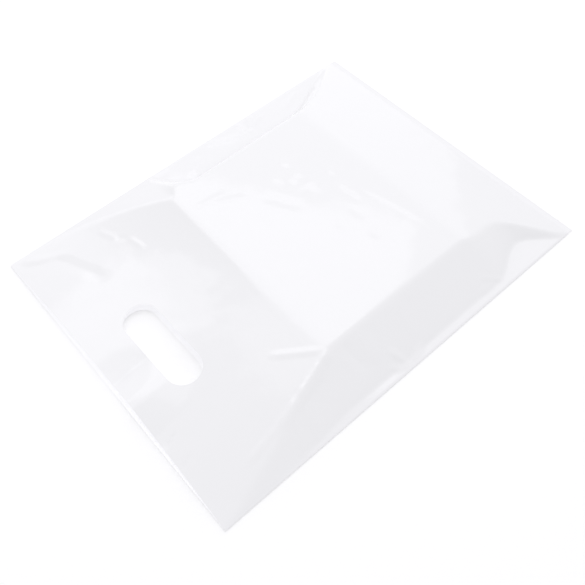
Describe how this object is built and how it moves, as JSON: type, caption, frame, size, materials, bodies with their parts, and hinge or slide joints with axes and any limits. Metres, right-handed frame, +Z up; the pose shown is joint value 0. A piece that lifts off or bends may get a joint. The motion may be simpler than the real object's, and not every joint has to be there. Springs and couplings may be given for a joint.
{
  "type": "plastic carrier bag",
  "caption": "White plastic carrier bag with a die-cut hand hole, lying flat and propped open from inside, sealed at one end.",
  "frame": {"origin": "on the floor under the middle of the bag as it lies flat", "axes": "+X across the bag, +Y along it from the open mouth to the sealed end, +Z up from the lower layer"},
  "size_m": [0.305, 0.3886, 0.02],
  "materials": {
    "film": "thin glossy white film"
  },
  "bodies": {
    "root": {"bag_film": "film"}
  },
  "joints": []
}
